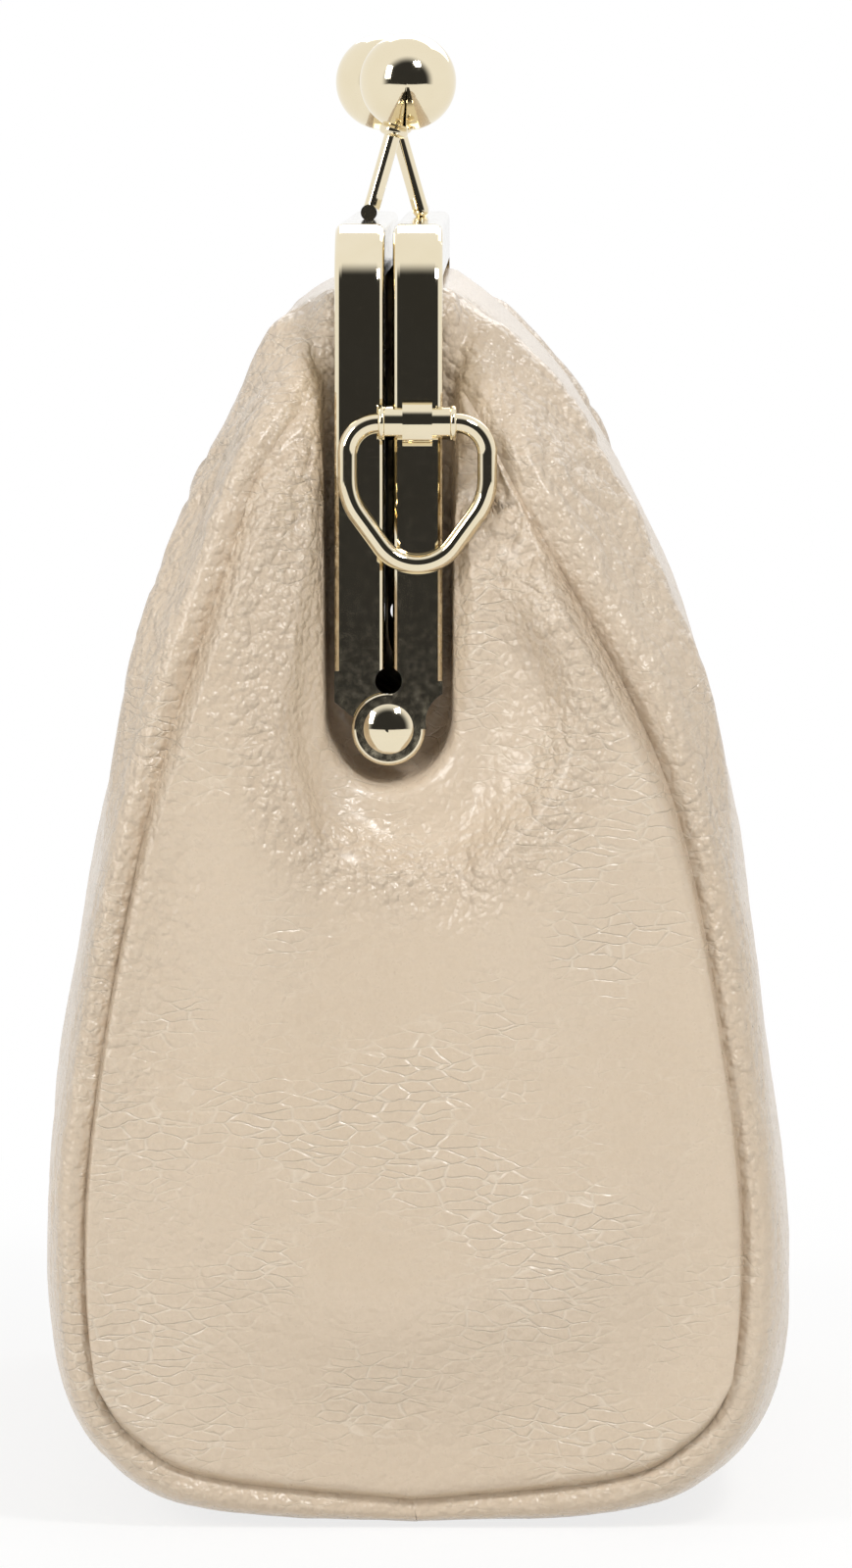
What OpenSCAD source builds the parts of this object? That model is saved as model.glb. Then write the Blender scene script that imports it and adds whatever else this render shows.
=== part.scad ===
// Kiss lock frame purse: a pebbled leather bag hung from a two-part brass channel frame.
// The two frame halves turn on a rivet at each end, and a pair of crossed balls snaps them shut.
// X runs along the frame, -Y is the front, +Z is up, and the origin lies under the hinge line
// on the surface that the bag stands on.

/* [Bag] */
// Height of the frame's top face above the ground
frame_top = 176; // [165:1:190]
// Width of the bag across the widest part of the end seams
bag_width = 217; // [210:1:240]
// Depth of the bag, front to back, at its widest
bag_depth = 107; // [96:1:118]
// Width of the end gusset between its front and back seams
gusset_width = 90; // [80:1:96]
// How far the belly of an end gusset stands out past its seams
gusset_belly = 4; // [1:0.5:6]
// How far the body leans to the back of the frame
lean = 4.3; // [0:0.1:6]
// Thickness of the leather
leather_t = 1.4; // [1:0.1:1.6]
// Thickness of the lining cloth
lining_t = 0.5; // [0.3:0.1:0.6]
// Room between leather and lining, in which the base board lies
lining_room = 1.8; // [1.7:0.1:2.5]
// Length of the stiff board in the base
board_length = 160; // [130:1:170]
// Width of the stiff board in the base
board_width = 50; // [36:1:54]
// Thickness of the stiff board in the base
board_t = 1.2; // [0.8:0.1:1.2]

/* [Frame] */
// Length of the frame over its legs
frame_length = 200; // [190:1:206]
// Length of a leg, from the frame's top face to the hinge axis
leg_length = 68; // [60:1:76]
// Width of the channel that each frame half is bent from
channel_w = 6.75; // [6.4:0.05:7.5]
// Depth of the channel
channel_d = 7; // [6.5:0.1:8]
// Thickness of the channel's side walls
wall_t = 0.8; // [0.6:0.1:0.9]
// Thickness of the channel's outer web, and of the hinge ears
web_t = 1; // [0.8:0.1:1.1]
// Gap between the two closed frame halves
frame_gap = 1.1; // [0.8:0.1:1.6]
// Outer radius of the frame's bent corners
corner_r = 11; // [10:0.5:14]
// Radius of the rounded long edges of the channel
edge_r = 1; // [0.4:0.1:1.2]
// Diameter of the paper cord that wedges the leather in the channel
packing_d = 1.5; // [1.2:0.1:1.6]
// How far down the leg the seam between panel and gusset enters the frame
seam_drop = 21; // [18:1:26]

/* [Hinge] */
// Radius of the round hinge ears
ear_r = 5; // [4.5:0.1:5.4]
// Diameter of the rivet's shank
rivet_d = 3.2; // [2.6:0.1:3.6]
// Diameter of the rivet's domed head
rivet_head_d = 6.75; // [5.6:0.05:7.4]
// Height of the rivet's domed head
rivet_head_h = 1.1; // [0.8:0.1:1.6]
// Diameter of the rivet's closed inner end
rivet_tail_d = 5.2; // [4.4:0.1:6]
// Radius of the eye that relieves both legs just above the ears
eye_r = 1.8; // [1.2:0.1:2]

/* [Kiss lock] */
// Diameter of each clasp ball
ball_d = 13.9; // [12:0.1:15]
// Height of the ball centres above the frame's top face
ball_rise = 19.5; // [17:0.5:22]
// How far each ball leans past the hinge plane
ball_cross = 1.8; // [1:0.1:2.4]
// Diameter of the bent rod under each ball
stem_d = 2.3; // [2:0.1:2.8]
// Length of the rod's foot along the frame
foot_length = 22; // [14:1:30]
// Diameter of the collar under each ball
collar_d = 4.2; // [3.4:0.1:5]

/* [Strap rings] */
// Height of the ring barrels above the hinge axis
ring_height = 41.4; // [38:0.2:44]
// Diameter of the barrel that closes a ring
barrel_d = 4.9; // [4.4:0.1:5.4]
// Length of the barrel
barrel_length = 10.5; // [9:0.5:12]
// Diameter of the ring's wire
wire_d = 2.7; // [2.2:0.1:3]
// Width of a ring between its wire's centres
ring_width = 18.8; // [17:0.2:20]
// Length of a ring from the barrel's axis to the wire's centre at the tip
ring_length = 19; // [18:0.5:21]
// Angle of a ring's slanting sides to the vertical
ring_slant = 36; // [32:1:40]
// Width of the saddle strip that holds the barrel to the leg
saddle_w = 4; // [3:0.2:5]
// Thickness of the saddle strip
saddle_t = 0.8; // [0.6:0.1:1]
// Length of each flat flange of the saddle
saddle_flange = 1.3; // [1:0.1:2]

/* [Hidden] */
$fn = 48;

running_gap = 0.05;   // a shaft in its hole
free_gap = 0.3;       // between pieces that pass each other
layer_gap = 0.1;      // between pieces that lie on each other

hinge_z = frame_top - leg_length;
leg_x = frame_length / 2;
frame_y = (frame_gap + channel_w) / 2;      // middle of a frame half
outer_y = frame_gap / 2 + channel_w;        // outer side of a frame half
corner_z = frame_top - corner_r;
corner_x = leg_x - corner_r;

// How the leather's edge lies in the channel, turns round its wall and leaves it
edge_depth = 4;
edge_y = outer_y - wall_t - packing_d - 2 * layer_gap - 0.25;
exit_depth = channel_d + 1.6;
wrap_depth = channel_d + 2;
wrap_y = outer_y + 1.3;
seam_z = frame_top - seam_drop;
seam_fall = [2.5, 11.4];      // the seam's first rows below its top
seam_out = 3.2;               // its first row outside the frame's side
seam_in = 5;                  // its first row inside the legs' faces
tuck_room = 5.3;              // the gusset's edge below the ears
bend_length = PI / 2 * (corner_r - edge_depth);
leather_bend = 4.5;
seam_run = corner_x + bend_length + corner_z - seam_z;

function lerp(a, b, t) = a + (b - a) * t;
function smooth(t) = let (c = max(0, min(1, t))) c * c * (3 - 2 * c);
function unit(v) = v / max(norm(v), 1e-9);

// Catmull-Rom curve through the points p, at the real index k
function curve(p, k) =
    let (i = min(floor(k), len(p) - 2), t = k - i,
         a = p[max(i - 1, 0)], b = p[i], c = p[i + 1], d = p[min(i + 2, len(p) - 1)])
    0.5 * (2 * b + (c - a) * t + (2 * a - 5 * b + 4 * c - d) * t * t
           + (3 * b - a - 3 * c + d) * t * t * t);

// Leather body. Both outlines run from the shoulder under the frame to the middle of the base.
// Each point is [share of the half depth, share of the shoulder's height, share of the lean].
shoulder_z = frame_top - channel_d;
MIDDLE = [[0.28, 0.964, 0], [0.452, 0.893, 0.5], [0.617, 0.787, 0.88], [0.751, 0.68, 1],
          [0.869, 0.556, 1], [0.963, 0.402, 1], [0.996, 0.249, 1], [0.963, 0.118, 1],
          [0.804, 0.0355, 1], [0.523, 0, 1], [0, 0, 1]];
// The seam's outline has a fourth value: its share of the way from the leg to the full width.
SEAM = [[0.233, 0.902, 0, -0.59], [0.36, 0.85, -0.2, 0.12], [0.5, 0.769, 0.15, 0.47],
        [0.68, 0.66, 0.6, 0.7], [0.811, 0.556, 0.8, 0.85], [0.927, 0.399, 0.8, 1],
        [0.991, 0.2485, 0.8, 0.98], [0.956, 0.118, 0.8, 0.82], [0.787, 0.0586, 0.8, 0.65],
        [0.556, 0.035, 0.8, 0.6], [0, 0.019, 0.8, 0.53]];
PATH_ROWS = 3;                      // rows that follow the channel, before the outlines begin
LAST_ROW = PATH_ROWS + len(MIDDLE) - 1;
CORNER_ROW = 10;                    // row at which the seam turns from the side to the base
BEND_ROW = 5;                       // last row of the tight bends round the frame
BASE_STEPS = 7;                     // steps from the corner to the middle of the base
SETTLE_ROW = 8;                     // row from which the base settles
settle = 0.08;

function middle_y(i, side) = side * max(MIDDLE[i][0] * bag_depth / 2, layer_gap / 2) + lean * MIDDLE[i][2];
function middle_z(i) = MIDDLE[i][1] * shoulder_z;
function seam_y(i, side) =
    side * (i == 0 ? outer_y + seam_out : max(SEAM[i][0] * gusset_width / 2, layer_gap / 2))
    + lean * SEAM[i][2];
function seam_height(i) = i < 2 ? seam_z - seam_fall[i] : SEAM[i][1] * shoulder_z;
function seam_x(i) = i == 0 ? leg_x - seam_in : leg_x + SEAM[i][3] * (bag_width / 2 - leg_x);

// Point of the frame's path at the run s from its middle, depth mm in from the outer face. Leather
// can't turn as tightly as the frame's inner corner, so it cuts that corner.
function path(s, depth) =
    let (turn = max(0, min(90, (s - corner_x) / bend_length * 90)), r = max(corner_r - depth, leather_bend),
         cx = leg_x - depth - r, cz = frame_top - depth - r)
    s <= corner_x ? [s / corner_x * cx, frame_top - depth]
    : turn < 90 ? [cx + r * sin(turn), cz + r * cos(turn)]
    : [leg_x - depth, lerp(cz, seam_z, (s - corner_x - bend_length) / (corner_z - seam_z))];

function path_row(x_share, depth, y) =
    let (p = path(abs(x_share) * seam_run, depth)) [sign(x_share) * p[0], y, p[1]];

// How far the panel has filled out from the seam (1) to the middle (0)
function fill(u) = pow(1 - pow(abs(u), 6), 0.4);

function panel_controls(u, side) =
    concat([path_row(u, edge_depth, side * edge_y), path_row(u, exit_depth, side * (edge_y + 0.3)),
            path_row(u, wrap_depth, side * wrap_y)],
           [for (i = [0 : len(MIDDLE) - 1]) let (f = fill(u))
               [u * seam_x(i), lerp(seam_y(i, side), middle_y(i, side), f),
                lerp(seam_height(i), middle_z(i), f)]]);

// The base settles on the ground, which leaves its middle flat
function settled(p, k) = k < SETTLE_ROW ? p : [p[0], p[1], max(0, p[2] - settle)];
function panel_point(u, k, side) = settled(curve(panel_controls(u, side), k), k);

// Gusset: a is 0 under the hinge and 1 or -1 at the back or front seam
HINGE_SHARE = 0.3;
function gusset_edge(a, y, drop) =
    let (t = abs(a), turn = 90 * (1 - min(1, t / HINGE_SHARE)), leg_end = hinge_z + 4)
    t < HINGE_SHARE ? [sign(a) * y * cos(turn), leg_end - drop * sin(turn)]
    : [sign(a) * y, lerp(leg_end, seam_z, (t - HINGE_SHARE) / (1 - HINGE_SHARE))];

function gusset_controls(a) =
    let (drop = ear_r + tuck_room, p = gusset_edge(a, edge_y, drop),
         q = gusset_edge(a, edge_y + 0.3, drop + 0.3), r = gusset_edge(a, wrap_y, drop + 2.7))
    [[leg_x - edge_depth, p[0], p[1]], [leg_x - exit_depth, q[0], q[1]],
     [leg_x - wrap_depth, r[0], r[1]]];

function gusset_outer(a, k) =
    let (side = a < 0 ? -1 : 1, t = (k - 2) / (CORNER_ROW - 2), share = abs(a),
         top = gusset_controls(a)[2], corner = gusset_controls(side)[2],
         foot = panel_point(1, lerp(LAST_ROW, CORNER_ROW, share), side),
         foot_corner = panel_point(1, CORNER_ROW, side), seam = panel_point(1, k, side),
         p = lerp(top, foot, t) + share * share * (seam - lerp(corner, foot_corner, t)),
         away = norm([p[1] - top[1], p[2] - top[2]]),
         belly = seam[0] + gusset_belly * (1 - share * share) * sin(180 * min(1, t)),
         low = lerp(top[0], lerp(belly, foot[0], smooth((t - 0.7) / 0.3)), 1 - exp(-pow(away / 6, 1.3))))
    [lerp(low, seam[0], pow(share, 6)), p[1], p[2]];

function gusset_point(a, k) =
    k < 2 ? curve(concat(gusset_controls(a), [gusset_outer(a, 3)]), k) : gusset_outer(a, k);

// Mitre at a seam: where the inner faces of panel and gusset meet, for leather 1 mm thick
function seam_inward(k, side) =
    let (lo = panel_point(1, max(0, k - 0.2), side), hi = panel_point(1, min(LAST_ROW, k + 0.2), side),
         seam = panel_point(1, k, side), share = min(0.93, (LAST_ROW - k) / (LAST_ROW - CORNER_ROW)),
         on_panel = panel_point(0.975, k, side), on_gusset = gusset_point(side * share, min(k, CORNER_ROW - 0.3)),
         n1 = side * unit(cross(hi - lo, seam - on_panel)), n2 = -side * unit(cross(hi - lo, seam - on_gusset)))
    (n1 + n2) / max(1 + n1 * n2, 0.4);

// Rows are sampled alike on panels and gussets, so that the two meet point for point
function rows(coarse) = let (step = coarse ? 1 : 0.5)
    concat([for (k = [0 : 0.5 : BEND_ROW]) k],
           [for (k = [BEND_ROW + step : step : CORNER_ROW - 0.01]) k], base_rows());
function base_rows() = [for (i = [0 : BASE_STEPS]) CORNER_ROW + (LAST_ROW - CORNER_ROW) * i / BASE_STEPS];
// Columns: evenly spaced along the bar, through the bend, and closing up towards the seam
function half_columns(coarse) =
    let (n = coarse ? 3 : 5, m = coarse ? 3 : 4, bend = corner_x / seam_run,
         leg = (corner_x + bend_length) / seam_run)
    concat([for (i = [1 : n]) bend * i / n], [for (i = [1 : m]) lerp(bend, leg, i / m)],
           [for (i = [1 : n]) lerp(leg, 1, 1 - pow(1 - i / n, 1.6))]);
function columns(coarse) = let (h = half_columns(coarse))
    concat([for (i = [len(h) - 1 : -1 : 0]) -h[i]], [0], h);

// Normal of a grid of points, from its neighbours
function grid_normal(g, i, j) =
    let (a = g[max(i - 1, 0)][j], b = g[min(i + 1, len(g) - 1)][j],
         c = g[i][max(j - 1, 0)], d = g[i][min(j + 1, len(g[0]) - 1)])
    unit(cross(b - a, d - c));

function flip_x(v, x) = [v[0] * x, v[1], v[2]];

// Offset of a row of the lining: close to the leather at the frame, with room for the board below
function lining_offset(k) = leather_t + lerp(0.25, lining_room, smooth((k - 4) / 4));

// The panels meet in the plane under the bag's middle, where the base's own seam runs
function in_plane(v) = unit([v[0], 0, v[2]]) * norm(v);

function panel_grid(side, coarse) =
    [for (k = rows(coarse)) [for (u = columns(coarse)) panel_point(u, k, side)]];

function panel_layer(g, side, depth_of, coarse) =
    let (ks = rows(coarse), us = columns(coarse), last = len(us) - 1)
    [for (i = [0 : len(ks) - 1]) [for (j = [0 : last])
        let (depth = depth_of(ks[i]),
             inward = j == 0 || j == last ? flip_x(seam_inward(ks[i], side), j == 0 ? -1 : 1)
                      : side * grid_normal(g, i, j))
        g[i][j] + depth * (i < len(ks) - 1 ? inward : in_plane(inward))]];

// The gusset's outer columns and last row stop short of the seam by a sewing gap
function gusset_rows(coarse) = [for (k = rows(coarse)) if (k <= CORNER_ROW) k];
function gusset_grid(coarse) =
    let (reach = 1 - layer_gap / (gusset_width / 2),
         as = [for (i = [-BASE_STEPS : BASE_STEPS]) reach * i / BASE_STEPS])
    [for (k = gusset_rows(coarse)) [for (a = as) gusset_point(a, min(k, CORNER_ROW - layer_gap / 8))]];

function gusset_layer(g, depth_of, coarse) =
    let (ks = gusset_rows(coarse), base = base_rows(), n = BASE_STEPS, last = 2 * n)
    [for (i = [0 : len(ks) - 1]) [for (j = [0 : last])
        let (side = j < n ? -1 : 1, row = i == len(ks) - 1 ? base[j <= n ? j : last - j] : ks[i],
             depth = depth_of(row),
             inward = j == 0 || j == last || i == len(ks) - 1 ? seam_inward(row, side)
                      : -1 * grid_normal(g, i, j))
        g[i][j] + depth * inward]];

// Closed sheet between two grids of points
module sheet(outer, inner, flip = false) {
    r = len(outer);
    c = len(outer[0]);
    n = r * c;
    points = concat([for (row = outer) each row], [for (row = inner) each row]);
    function at(i, j) = i * c + j;
    quads = concat(
        [for (i = [0 : r - 2], j = [0 : c - 2]) [at(i, j), at(i, j + 1), at(i + 1, j + 1), at(i + 1, j)]],
        [for (i = [0 : r - 2], j = [0 : c - 2])
            [n + at(i, j), n + at(i + 1, j), n + at(i + 1, j + 1), n + at(i, j + 1)]],
        [for (j = [0 : c - 2]) [at(0, j + 1), at(0, j), n + at(0, j), n + at(0, j + 1)]],
        [for (j = [0 : c - 2]) [at(r - 1, j), at(r - 1, j + 1), n + at(r - 1, j + 1), n + at(r - 1, j)]],
        [for (i = [0 : r - 2]) [at(i, 0), at(i + 1, 0), n + at(i + 1, 0), n + at(i, 0)]],
        [for (i = [0 : r - 2]) [at(i + 1, c - 1), at(i, c - 1), n + at(i, c - 1), n + at(i + 1, c - 1)]]);
    faces = [for (q = quads) each [[q[0], q[1], q[2]], [q[0], q[2], q[3]]]];
    polyhedron(points, flip ? [for (f = faces) [f[2], f[1], f[0]]] : faces, convexity = 8);
}

module leather_panel(side) {
    g = panel_grid(side, false);
    inner = panel_layer(g, side, function (k) leather_t, false);
    color("#D8C9AE") sheet(g, inner, side > 0);
}

module lining_panel(side) {
    g = panel_grid(side, true);
    top = panel_layer(g, side, function (k) lining_offset(k), true);
    inner = panel_layer(g, side, function (k) lining_offset(k) + lining_t, true);
    color("#B9A78C") sheet(top, inner, side > 0);
}

function at_end(g, end) = [for (row = g) [for (p = row) flip_x(p, end)]];

module leather_gusset(end) {
    g = gusset_grid(false);
    inner = gusset_layer(g, function (k) leather_t, false);
    color("#D8C9AE") sheet(at_end(g, end), at_end(inner, end), end < 0);
}

module lining_gusset(end) {
    g = gusset_grid(true);
    top = gusset_layer(g, function (k) lining_offset(k), true);
    inner = gusset_layer(g, function (k) lining_offset(k) + lining_t, true);
    color("#B9A78C") sheet(at_end(top, end), at_end(inner, end), end < 0);
}

module base_board() {
    color("#8C7A62") translate([-board_length / 2, lean - board_width / 2, leather_t + free_gap])
        cube([board_length, board_width, board_t]);
}

// Channel section: x runs in from the outer web's face, y across the half
module channel_section() {
    steps = 4;
    arc = [for (i = [0 : steps]) let (t = 90 * i / steps) [edge_r * (1 - cos(t)), edge_r * (1 - sin(t))]];
    polygon(concat(
        [for (p = arc) [p[0], p[1] - channel_w / 2]],
        [[channel_d, -channel_w / 2], [channel_d, wall_t - channel_w / 2],
         [web_t, wall_t - channel_w / 2], [web_t, channel_w / 2 - wall_t],
         [channel_d, channel_w / 2 - wall_t], [channel_d, channel_w / 2]],
        [for (i = [steps : -1 : 0]) [arc[i][0], channel_w / 2 - arc[i][1]]]));
}

module channel_bar() {
    // top bar
    translate([-corner_x, 0, frame_top]) rotate([0, 90, 0]) linear_extrude(2 * corner_x) channel_section();
    for (end = [-1, 1]) mirror([end < 0 ? 1 : 0, 0, 0]) {
        translate([corner_x, 0, corner_z]) rotate([90, 0, 0]) rotate_extrude(angle = 90)
            translate([corner_r, 0]) mirror([1, 0]) channel_section();
        translate([leg_x, 0, hinge_z + neck_h]) linear_extrude(corner_z - hinge_z - neck_h)
            mirror([1, 0]) channel_section();
    }
}

// Plate in the plane of a leg's web, thickness t inward from the depth d
module end_plate(d, t) {
    translate([leg_x - d - t, 0, hinge_z]) rotate([90, 0, 90]) linear_extrude(t) children();
}

// Web between a leg and its ear. The rear one, in front, narrows to the ear by a round cut.
neck_h = ear_r + 0.6;
flank_r = 4.4;
module rear_neck() {
    difference() {
        translate([frame_gap / 2, 0]) square([channel_w, ear_r + 1.5]);
        translate([ear_r + flank_r, 0.9]) circle(flank_r);
    }
}

// The front one lies behind the rear ear and narrows along a straight edge
module front_neck(top) {
    polygon([[-frame_gap / 2, 0], [-frame_gap / 2, top], [-outer_y, top], [-outer_y, ear_r - 1.3],
             [0.5 - ear_r, 1.3], [0.5 - ear_r, 0]]);
}

// Disc of the rear ear with its outer edge rounded over
ear_edge = 0.6;
module rear_ear() {
    steps = 4;
    translate([leg_x - web_t, 0, hinge_z]) rotate([0, 90, 0]) rotate_extrude()
        polygon(concat([[0, 0], [ear_r, 0]],
            [for (i = [0 : steps]) let (t = 90 * i / steps)
                [ear_r - ear_edge * (1 - cos(t)), web_t - ear_edge * (1 - sin(t))]],
            [[0, web_t]]));
}

module hinge_eye() {
    translate([leg_x - channel_d, 0, hinge_z + ear_r + eye_r - 0.3]) rotate([0, 90, 0])
        cylinder(h = channel_d + 1, r = eye_r);
}

module hinge_bore(r) {
    translate([leg_x - channel_d, 0, hinge_z]) rotate([0, 90, 0]) cylinder(h = channel_d + 1, r = r);
}

ear_step = web_t + layer_gap;

module front_frame() {
    color("#CDBE93") difference() {
        union() {
            translate([0, -frame_y, 0]) channel_bar();
            for (end = [-1, 1]) mirror([end < 0 ? 1 : 0, 0, 0]) {
                // the front ear lies one plate behind the rear one, so its leg steps inward round it
                end_plate(ear_step, web_t) union() {
                    circle(ear_r);
                    front_neck(neck_h);
                }
                end_plate(0, ear_step + web_t) front_neck(ear_r + 2.85);
            }
        }
        for (end = [-1, 1]) mirror([end < 0 ? 1 : 0, 0, 0]) {
            hinge_bore(rivet_d / 2 + running_gap);
            hinge_eye();
            // room for the rear ear
            translate([leg_x - web_t - layer_gap / 2, 0, hinge_z]) rotate([0, 90, 0])
                cylinder(h = 2 * web_t, r = ear_r + free_gap);
        }
    }
}

module rear_frame() {
    color("#CDBE93") difference() {
        union() {
            translate([0, frame_y, 0]) channel_bar();
            for (end = [-1, 1]) mirror([end < 0 ? 1 : 0, 0, 0]) {
                rear_ear();
                end_plate(0, web_t) rear_neck();
            }
        }
        for (end = [-1, 1]) mirror([end < 0 ? 1 : 0, 0, 0]) {
            hinge_bore(rivet_d / 2);
            hinge_eye();
        }
    }
}

module packing_cord(side) {
    r = corner_r - edge_depth;
    leg_end = hinge_z + ear_r + 2.5;
    color("#A89372") translate([0, side * (outer_y - wall_t - packing_d / 2 - layer_gap), 0]) {
        translate([-corner_x, 0, frame_top - edge_depth]) rotate([0, 90, 0])
            cylinder(h = 2 * corner_x, d = packing_d);
        for (end = [-1, 1]) mirror([end < 0 ? 1 : 0, 0, 0]) {
            translate([corner_x, 0, corner_z]) rotate([90, 0, 0]) rotate_extrude(angle = 90)
                translate([r, 0]) circle(d = packing_d);
            translate([leg_x - edge_depth, 0, leg_end]) cylinder(h = corner_z - leg_end, d = packing_d);
        }
    }
}

module hinge_rivet(end) {
    tail_x = leg_x - ear_step - web_t - layer_gap;
    tail_h = 1;
    dome_r = (pow(rivet_head_d / 2, 2) + pow(rivet_head_h, 2)) / (2 * rivet_head_h);
    color("#D8C998") mirror([end < 0 ? 1 : 0, 0, 0]) translate([0, 0, hinge_z]) rotate([0, 90, 0]) {
        translate([0, 0, tail_x]) cylinder(h = leg_x - tail_x, d = rivet_d);
        translate([0, 0, tail_x - tail_h]) cylinder(h = tail_h, d = rivet_tail_d);
        translate([0, 0, leg_x]) intersection() {
            cylinder(h = rivet_head_h, d = rivet_head_d);
            translate([0, 0, rivet_head_h - dome_r]) sphere(r = dome_r);
        }
    }
}

// Kiss lock: each half's ball leans over the other half; the pair stands a ball's width apart
ball_x = (ball_d + layer_gap) / 2;
ball_z = frame_top + ball_rise;
foot_z = frame_top + stem_d / 2 - 0.2;
foot_y = frame_y - 0.4;
stem_rise = ball_z - foot_z;
stem_lean = atan2(foot_y + ball_cross, stem_rise);
stem_length = norm([foot_y + ball_cross, stem_rise]);
seat_depth = ball_d / 2 - 3;      // the rod's end, measured from the ball's centre
collar_h = 1.6;

// Places children at the foot of a stem with its axis along +Z. The rear clasp is the front one
// turned half a turn about the middle of the frame.
module at_stem(half) {
    rotate([0, 0, half == "rear" ? 180 : 0]) translate([ball_x, -foot_y, foot_z]) rotate([-stem_lean, 0, 0])
        children();
}

module clasp_stem(half) {
    color("#CDBE93") difference() {
        union() {
            at_stem(half) cylinder(h = stem_length - seat_depth, d = stem_d);
            at_stem(half) sphere(d = stem_d);
            rotate([0, 0, half == "rear" ? 180 : 0]) translate([ball_x, -foot_y, foot_z]) rotate([0, 90, 0])
                cylinder(h = foot_length, d = stem_d);
        }
        translate([-leg_x, -leg_x, frame_top - stem_d]) cube([frame_length, frame_length, stem_d]);
    }
}

module clasp_collar(half) {
    bead = (collar_d - collar_h) / 2;
    color("#D8C998") at_stem(half) translate([0, 0, stem_length - ball_d / 2 - collar_h + 0.4])
        difference() {
            rotate_extrude() {
                translate([bead, collar_h / 2]) circle(d = collar_h);
                square([bead, collar_h]);
            }
            translate([0, 0, -1]) cylinder(h = collar_h + 2, d = stem_d);
            translate([0, 0, ball_d / 2 + collar_h - 0.4]) sphere(d = ball_d);
        }
}

module clasp_ball(half) {
    color("#E3D6AC") at_stem(half) translate([0, 0, stem_length]) difference() {
        sphere(d = ball_d);
        translate([0, 0, -ball_d]) cylinder(h = ball_d - seat_depth, d = stem_d);
    }
}

// Strap rings, one on each leg of the rear half
barrel_x = leg_x + barrel_d / 2 + layer_gap;
barrel_z = hinge_z + ring_height;
module at_barrel(end) {
    mirror([end < 0 ? 1 : 0, 0, 0]) translate([barrel_x, frame_y, barrel_z]) children();
}

// The barrel has a rounded rim at each end and is a little thinner between them
rim_t = 0.2;
rim_w = 0.9;
waist_r = barrel_d / 2 - rim_t;

module ring_saddle(end) {
    inner = waist_r + running_gap;
    outer = inner + saddle_t;
    reach = barrel_x - leg_x;
    color("#D8C998") at_barrel(end) rotate([90, 0, 0]) translate([0, 0, -saddle_w / 2]) difference() {
        union() {
            cylinder(h = saddle_w, r = outer);
            translate([-reach, -outer, 0]) cube([reach, 2 * outer, saddle_w]);
            translate([-reach, -outer - saddle_flange, 0])
                cube([saddle_t, 2 * (outer + saddle_flange), saddle_w]);
        }
        translate([0, 0, -1]) cylinder(h = saddle_w + 2, r = inner);
        translate([-reach - 1, -inner, -1]) cube([reach + 1, 2 * inner, saddle_w + 2]);
        translate([-reach - outer, -2 * outer, -1]) cube([outer, 4 * outer, saddle_w + 2]);
    }
}

module ring_barrel(end) {
    color("#D8C998") at_barrel(end) rotate([90, 0, 0]) difference() {
        union() {
            cylinder(h = barrel_length - rim_w, r = waist_r, center = true);
            for (side = [-1, 1]) translate([0, 0, side * (barrel_length - rim_w) / 2]) rotate_extrude() {
                translate([barrel_d / 2 - rim_w / 2, 0]) circle(d = rim_w);
                translate([0, -rim_w / 2]) square([barrel_d / 2 - rim_w / 2, rim_w]);
            }
        }
        cylinder(h = barrel_length + 2, d = wire_d, center = true);
    }
}

// One side of the ring: out of the barrel, round the shoulder, down, round the corner and to the tip
shoulder_bend = ring_width / 2 - barrel_length / 2;
corner_bend = 8;
tip_bend = 6;
insert = 3;
run_relief = 0.02;
run_seat = 0.15;
slant_width = ring_width / 2 - corner_bend * (1 - cos(ring_slant)) - tip_bend * cos(ring_slant);
slant_run = slant_width / sin(ring_slant);
tip_z = tip_bend - ring_length;
corner_level = slant_run * cos(ring_slant) + tip_z + (corner_bend - tip_bend) * sin(ring_slant);

module wire_bend(r, angle) {
    rotate_extrude(angle = angle) translate([r, 0]) circle(d = wire_d);
}

// Straight wire along +Y: a hair thinner than the bends, with its ends seated in them
module wire_run(length) {
    translate([0, -run_seat, 0]) rotate([-90, 0, 0])
        cylinder(h = length + 2 * run_seat, d = wire_d - 2 * run_relief);
}

module ring_side() {
    // drawn in a plane with x outward and y up, the barrel's axis at the origin
    translate([barrel_length / 2 - insert, 0, 0]) rotate([0, 0, -90]) wire_run(insert);
    translate([barrel_length / 2, -shoulder_bend, 0]) wire_bend(shoulder_bend, 90);
    translate([ring_width / 2, corner_level, 0]) wire_run(-shoulder_bend - corner_level);
    translate([ring_width / 2 - corner_bend, corner_level, 0]) rotate([0, 0, -ring_slant])
        wire_bend(corner_bend, ring_slant);
    translate([0, tip_z, 0]) rotate([0, 0, -ring_slant]) translate([tip_bend, 0, 0]) wire_run(slant_run);
}

module strap_ring(end) {
    color("#CDBE93") at_barrel(end) rotate([90, 0, 90]) {
        ring_side();
        mirror([1, 0, 0]) ring_side();
        translate([0, tip_z, 0]) rotate([0, 0, ring_slant - 180]) wire_bend(tip_bend, 180 - 2 * ring_slant);
    }
}

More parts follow.
